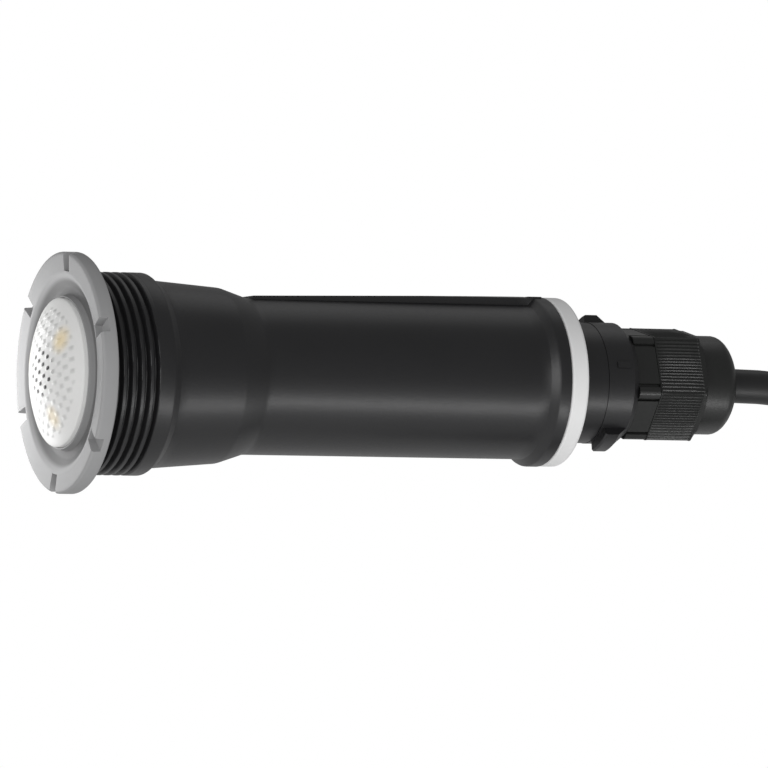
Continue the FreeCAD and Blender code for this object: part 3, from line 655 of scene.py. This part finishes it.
def make_nut(material):
    """The gland nut: a rounded hexagon with fine flutes, then a dome down to the cable."""
    def fluted(x, depth):
        def row(angle):
            wave = 0.5 - 0.5 * math.cos(TAU * ((angle - HEX_TURN) * FLUTES / 360.0))
            return x, hex_radius(angle, NUT_HALF_FLATS, NUT_ROUND_R) - depth * wave
        return row

    def chamfered(x, limit):
        return lambda angle: (x, hex_radius(angle, NUT_HALF_FLATS, limit))

    rows = [(NUT_X, NUT_BORE), fluted(NUT_X, 0.0), fluted(NUT_X + 0.25, 0.0)]
    rows += [fluted(x, FLUTE_DEPTH) for x in (NUT_X + 0.4, *NUT_GRIP_X)]
    rows += [fluted(NUT_GRIP_END, 0.0), chamfered(NUT_CHAMFER_X, NUT_ROUND_R)]
    rows += [chamfered(NUT_FLUTED_END, NUT_CHAMFER_R)]
    rows += NUT_DOME + NUT_INSIDE
    mesh = ring_mesh("fluted_nut", rows, even_angles(FLUTES * COLUMNS_PER_FLUTE), 28.0)
    return new_object("fluted_nut", mesh, "nut", material, ("gland_nut",))


# ---------------------------------------------------------------- cable

def coil_seats():
    """Where each turn sits, as (y from the coil's middle, radius), the inside layer first."""
    inside = [((k - 1.5) * CABLE_D, COIL_INSIDE_R) for k in range(INNER_TURNS)]
    outside = [((1 - k) * CABLE_D, COIL_OUTSIDE_R) for k in range(OUTER_TURNS)]
    return inside + outside


def coil_points():
    """The turns of the coil: each stays in its seat, then crosses to the next one near the lead."""
    seats = coil_seats()
    total = len(seats) + JOIN_ANGLE / 360.0
    count = round(total * POINTS_PER_TURN)
    swell = 2 / (1 + math.cos(math.pi / POINTS_PER_TURN))
    points = []
    for i in range(count + 1):
        turn = total * i / count
        n = min(int(turn), len(seats) - 1)
        here, after = seats[n], seats[min(n + 1, len(seats) - 1)]
        w = smooth_step((turn - n - 1 + CROSSING) / CROSSING)
        lift = math.sin(math.pi * w) * CABLE_D * (CROSSING_LIFT if n >= INNER_TURNS - 1 else 0.0)
        y = here[0] + (after[0] - here[0]) * w
        r = (here[1] + (after[1] - here[1]) * w + lift) * swell
        a = math.radians(JOIN_ANGLE) - TAU * turn
        points.append((COIL_X + r * math.cos(a), y, COIL_Z + r * math.sin(a)))
    return points


def make_cable(material):
    turns = coil_points()
    tail_x, tail_y, _ = turns[-1]
    tail = [(tail_x, tail_y, COIL_Z - TAIL_LENGTH * k) for k in (0.3, 0.65, 1.0)]
    points = LEAD_ROUTE + turns + tail
    curve = bpy.data.curves.new("cable", "CURVE")
    curve.dimensions = "3D"
    curve.bevel_depth = CABLE_D / 2
    curve.bevel_resolution = 6
    curve.resolution_u = 8
    spline = curve.splines.new("NURBS")
    spline.points.add(len(points) - 1)
    for point, co in zip(spline.points, points):
        point.co = (*co, 1.0)
    spline.order_u = 3
    spline.use_endpoint_u = True
    curve.use_fill_caps = True
    cable = bpy.data.objects.new("cable", curve)
    bpy.context.scene.collection.objects.link(cable)
    curve.materials.append(material)
    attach(cable, "housing")
    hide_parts("cable_lead", "cable_coil", "cable_tail")


# ---------------------------------------------------------------- the whole

def paint_all(black, gland, rubber):
    steel = surface("stainless", (0.62, 0.62, 0.61), 0.28, 1.0, grain=900)
    aluminium = surface("milled_aluminium", (0.78, 0.78, 0.80), 0.34, 1.0, grain=500, bump=0.06)
    finishes = {
        "rear_cap": black,
        "bayonet_collar": black,
        "coil_tie": gland,
        "seat_gasket": surface("white_silicone", (0.80, 0.80, 0.80), 0.5, grain=700, vary=0.03),
        "lens_retainer": black,
        "lens_gasket": rubber,
        "bezel_o_ring": rubber,
        "rear_cap_o_ring": rubber,
        "gland_o_ring": rubber,
        "gland_seal": rubber,
        "cable_inner": rubber,
        "gland_washer": steel,
        "led_board_screws": steel,
        "tray_screws": steel,
        "heat_sink": aluminium,
        "led_board": surface("white_solder_mask", (0.85, 0.85, 0.82), 0.4, grain=600),
        "thermal_pad": surface("thermal_silicone", (0.40, 0.46, 0.52), 0.7, grain=900, bump=0.1),
        "led_emitters": surface("phosphor", (0.90, 0.74, 0.22), 0.45, grain=2500, bump=0.1),
        "led_leads": surface("wire_red", (0.42, 0.03, 0.02), 0.45),
        "driver_tray": surface("natural_nylon", (0.55, 0.54, 0.49), 0.5, grain=800),
        "driver_board": surface("green_solder_mask", (0.02, 0.16, 0.06), 0.3, grain=500),
        "bridge_rectifier": surface("epoxy", (0.02, 0.02, 0.02), 0.5, grain=1800, bump=0.12),
        "driver_chips": surface("chip_epoxy", (0.025, 0.025, 0.027), 0.45, grain=2200, bump=0.12),
        "smoothing_capacitors": surface("can_sleeve", (0.03, 0.04, 0.16), 0.3, grain=400),
        "buck_inductor": surface("ferrite", (0.06, 0.06, 0.065), 0.6, grain=1600, bump=0.2),
        "inductor_winding": surface("enamelled_copper", (0.62, 0.22, 0.08), 0.3, 1.0, grain=400,
                                    bump=0.4, streaks=(1.0, 1.0, 8.0)),
        "terminal_block": surface("terminal_green", (0.03, 0.25, 0.10), 0.4),
        "core_ferrules": surface("tinned_copper", (0.75, 0.74, 0.72), 0.25, 1.0, grain=800),
    }
    for node, material in finishes.items():
        paint(node, material)
    brown = surface("core_brown", (0.16, 0.06, 0.03), 0.45)
    blue = surface("core_blue", (0.03, 0.09, 0.35), 0.45)
    paint_pair("inner_cores", 1, 0.0, brown, blue)
    paint_pair("cable_end_cores", 0, COIL_X + COIL_OUTSIDE_R, brown, blue)


make_camera()
make_world()
for light in LIGHTS:
    area_light(*light)
make_floor()
BLACK = surface("black_moulding", (0.012, 0.012, 0.013), 0.36, grain=1400, bump=0.08)
GLAND = surface("gland_nylon", (0.012, 0.0125, 0.012), 0.36, grain=1100, bump=0.07)
RUBBER = surface("black_rubber", (0.018, 0.018, 0.019), 0.55, grain=1800, bump=0.12)
JACKET = surface("cable_rubber", (0.012, 0.012, 0.0125), 0.45, bump=0.12, streaks=(0.4, 1.0, 1.0))
GREY = bezel_material()
make_cable(JACKET)
make_bezel(GREY)
make_body(BLACK)
make_lens(lens_material())
make_hex(GLAND)
make_nut(GLAND)
paint_all(BLACK, GLAND, RUBBER)
